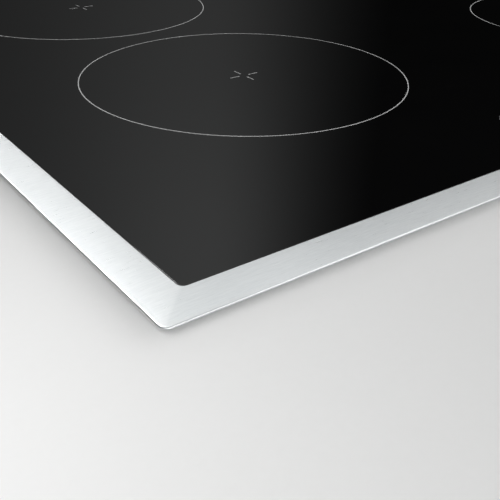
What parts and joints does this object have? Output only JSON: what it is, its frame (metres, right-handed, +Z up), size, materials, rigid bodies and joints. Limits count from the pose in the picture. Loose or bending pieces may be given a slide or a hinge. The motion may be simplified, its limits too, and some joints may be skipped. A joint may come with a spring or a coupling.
{
  "type": "electric induction cooktop",
  "caption": "Built-in induction cooktop: black glass-ceramic plate in a brushed steel surround frame, over a sheet metal housing with coils, inverter boards, fans and cut-out clips.",
  "frame": {"origin": "centre of the surround frame's footprint, on the underside of the base housing", "axes": "+X to the right as the cook stands, +Y to the back, +Z up through the glass"},
  "size_m": [0.583, 0.513, 0.0545],
  "materials": {
    "brushed_steel": "brushed in one direction",
    "glass_ceramic": "polished, opaque black",
    "silicone": "matte",
    "foam": "closed cell foam, matte",
    "galvanised_steel": "bare zinc coated sheet",
    "aluminium_sheet": "mill finish",
    "aluminium_extrusion": "as extruded",
    "coil_former": "glass filled, matte",
    "copper_litz": "enamelled copper wire",
    "mica": "pressed mineral sheet, matte",
    "ceramic": "matte",
    "circuit_board": "solder resist, satin",
    "black_plastic": "fine texture",
    "dark_plastic": "satin",
    "white_plastic": "satin",
    "ribbon": "satin",
    "rubber": "matte",
    "cable_sheath": "satin sleeve",
    "zinc_screw": "zinc plated",
    "spring_steel": "bright spring steel",
    "ferrite": "matte"
  },
  "bodies": {
    "chassis": {"trim_frame": "brushed_steel", "glass_ceramic_panel": "glass_ceramic", "glass_bond_seal": "silicone", "worktop_seal": "foam", "base_housing": "galvanised_steel", "coil_carrier_plate": "aluminium_sheet", "control_tray": "black_plastic", "control_board": "circuit_board", "display_light_guide": "white_plastic", "ribbon_cable": "ribbon", "terminal_box": "black_plastic", "terminal_block": "white_plastic", "cable_clamp": "black_plastic", "cable_grommet": "rubber", "mains_harness": "cable_sheath", "clamp_screw_left": "zinc_screw", "clamp_screw_right": "zinc_screw", "coil_former_front_left": "coil_former", "coil_winding_front_left": "copper_litz", "temperature_sensor_front_left": "ceramic", "coil_lead_front_left": "cable_sheath", "carrier_spring_front_left": "spring_steel", "coil_former_front_right": "coil_former", "coil_winding_front_right": "copper_litz", "temperature_sensor_front_right": "ceramic", "coil_lead_front_right": "cable_sheath", "carrier_spring_front_right": "spring_steel", "coil_former_rear_left": "coil_former", "coil_winding_rear_left": "copper_litz", "temperature_sensor_rear_left": "ceramic", "coil_lead_rear_left": "cable_sheath", "carrier_spring_rear_left": "spring_steel", "coil_former_rear_right": "coil_former", "coil_winding_rear_right": "copper_litz", "temperature_sensor_rear_right": "ceramic", "coil_lead_rear_right": "cable_sheath", "carrier_spring_rear_right": "spring_steel", "insulation_mat_left": "mica", "power_board_left": "circuit_board", "heatsink_left": "aluminium_extrusion", "filter_choke_left": "ferrite", "fan_housing_left": "black_plastic", "fan_motor_left": "copper_litz", "insulation_mat_right": "mica", "power_board_right": "circuit_board", "heatsink_right": "aluminium_extrusion", "filter_choke_right": "ferrite", "fan_housing_right": "black_plastic", "fan_motor_right": "copper_litz", "housing_screw_front_left": "zinc_screw", "housing_screw_front_right": "zinc_screw", "housing_screw_rear_left": "zinc_screw", "housing_screw_rear_right": "zinc_screw"},
    "fan_rotor_left": {"fan_impeller_left": "dark_plastic"},
    "fan_rotor_right": {"fan_impeller_right": "dark_plastic"},
    "terminal_cover": {"terminal_cover": "black_plastic"},
    "clip_front_left": {"spring_clip_front_left": "spring_steel"},
    "clip_front_right": {"spring_clip_front_right": "spring_steel"},
    "clip_rear_left": {"spring_clip_rear_left": "spring_steel"},
    "clip_rear_right": {"spring_clip_rear_right": "spring_steel"}
  },
  "joints": [
    {"name": "fan_spin_left", "type": "hinge", "parent": "chassis", "child": "fan_rotor_left", "pos_m": [-0.14, 0.165, 0.018], "axis": [0, 0, 1], "continuous": true},
    {"name": "fan_spin_right", "type": "hinge", "parent": "chassis", "child": "fan_rotor_right", "pos_m": [0.06, 0.165, 0.018], "axis": [0, 0, 1], "continuous": true},
    {"name": "terminal_cover_hinge", "type": "hinge", "parent": "chassis", "child": "terminal_cover", "pos_m": [0.195, 0.1842, 0.0032], "axis": [-1, 0, 0], "range_deg": [0, 90]},
    {"name": "clip_flex_front_left", "type": "hinge", "parent": "chassis", "child": "clip_front_left", "pos_m": [-0.2737, -0.15, 0.0446], "axis": [0, -1, 0], "range_deg": [0, 9], "stiffness_Nm_per_rad": 1},
    {"name": "clip_flex_front_right", "type": "hinge", "parent": "chassis", "child": "clip_front_right", "pos_m": [0.2737, -0.15, 0.0446], "axis": [0, 1, 0], "range_deg": [0, 9], "stiffness_Nm_per_rad": 1},
    {"name": "clip_flex_rear_left", "type": "hinge", "parent": "chassis", "child": "clip_rear_left", "pos_m": [-0.2737, 0.15, 0.0446], "axis": [0, -1, 0], "range_deg": [0, 9], "stiffness_Nm_per_rad": 1},
    {"name": "clip_flex_rear_right", "type": "hinge", "parent": "chassis", "child": "clip_rear_right", "pos_m": [0.2737, 0.15, 0.0446], "axis": [0, 1, 0], "range_deg": [0, 9], "stiffness_Nm_per_rad": 1}
  ]
}
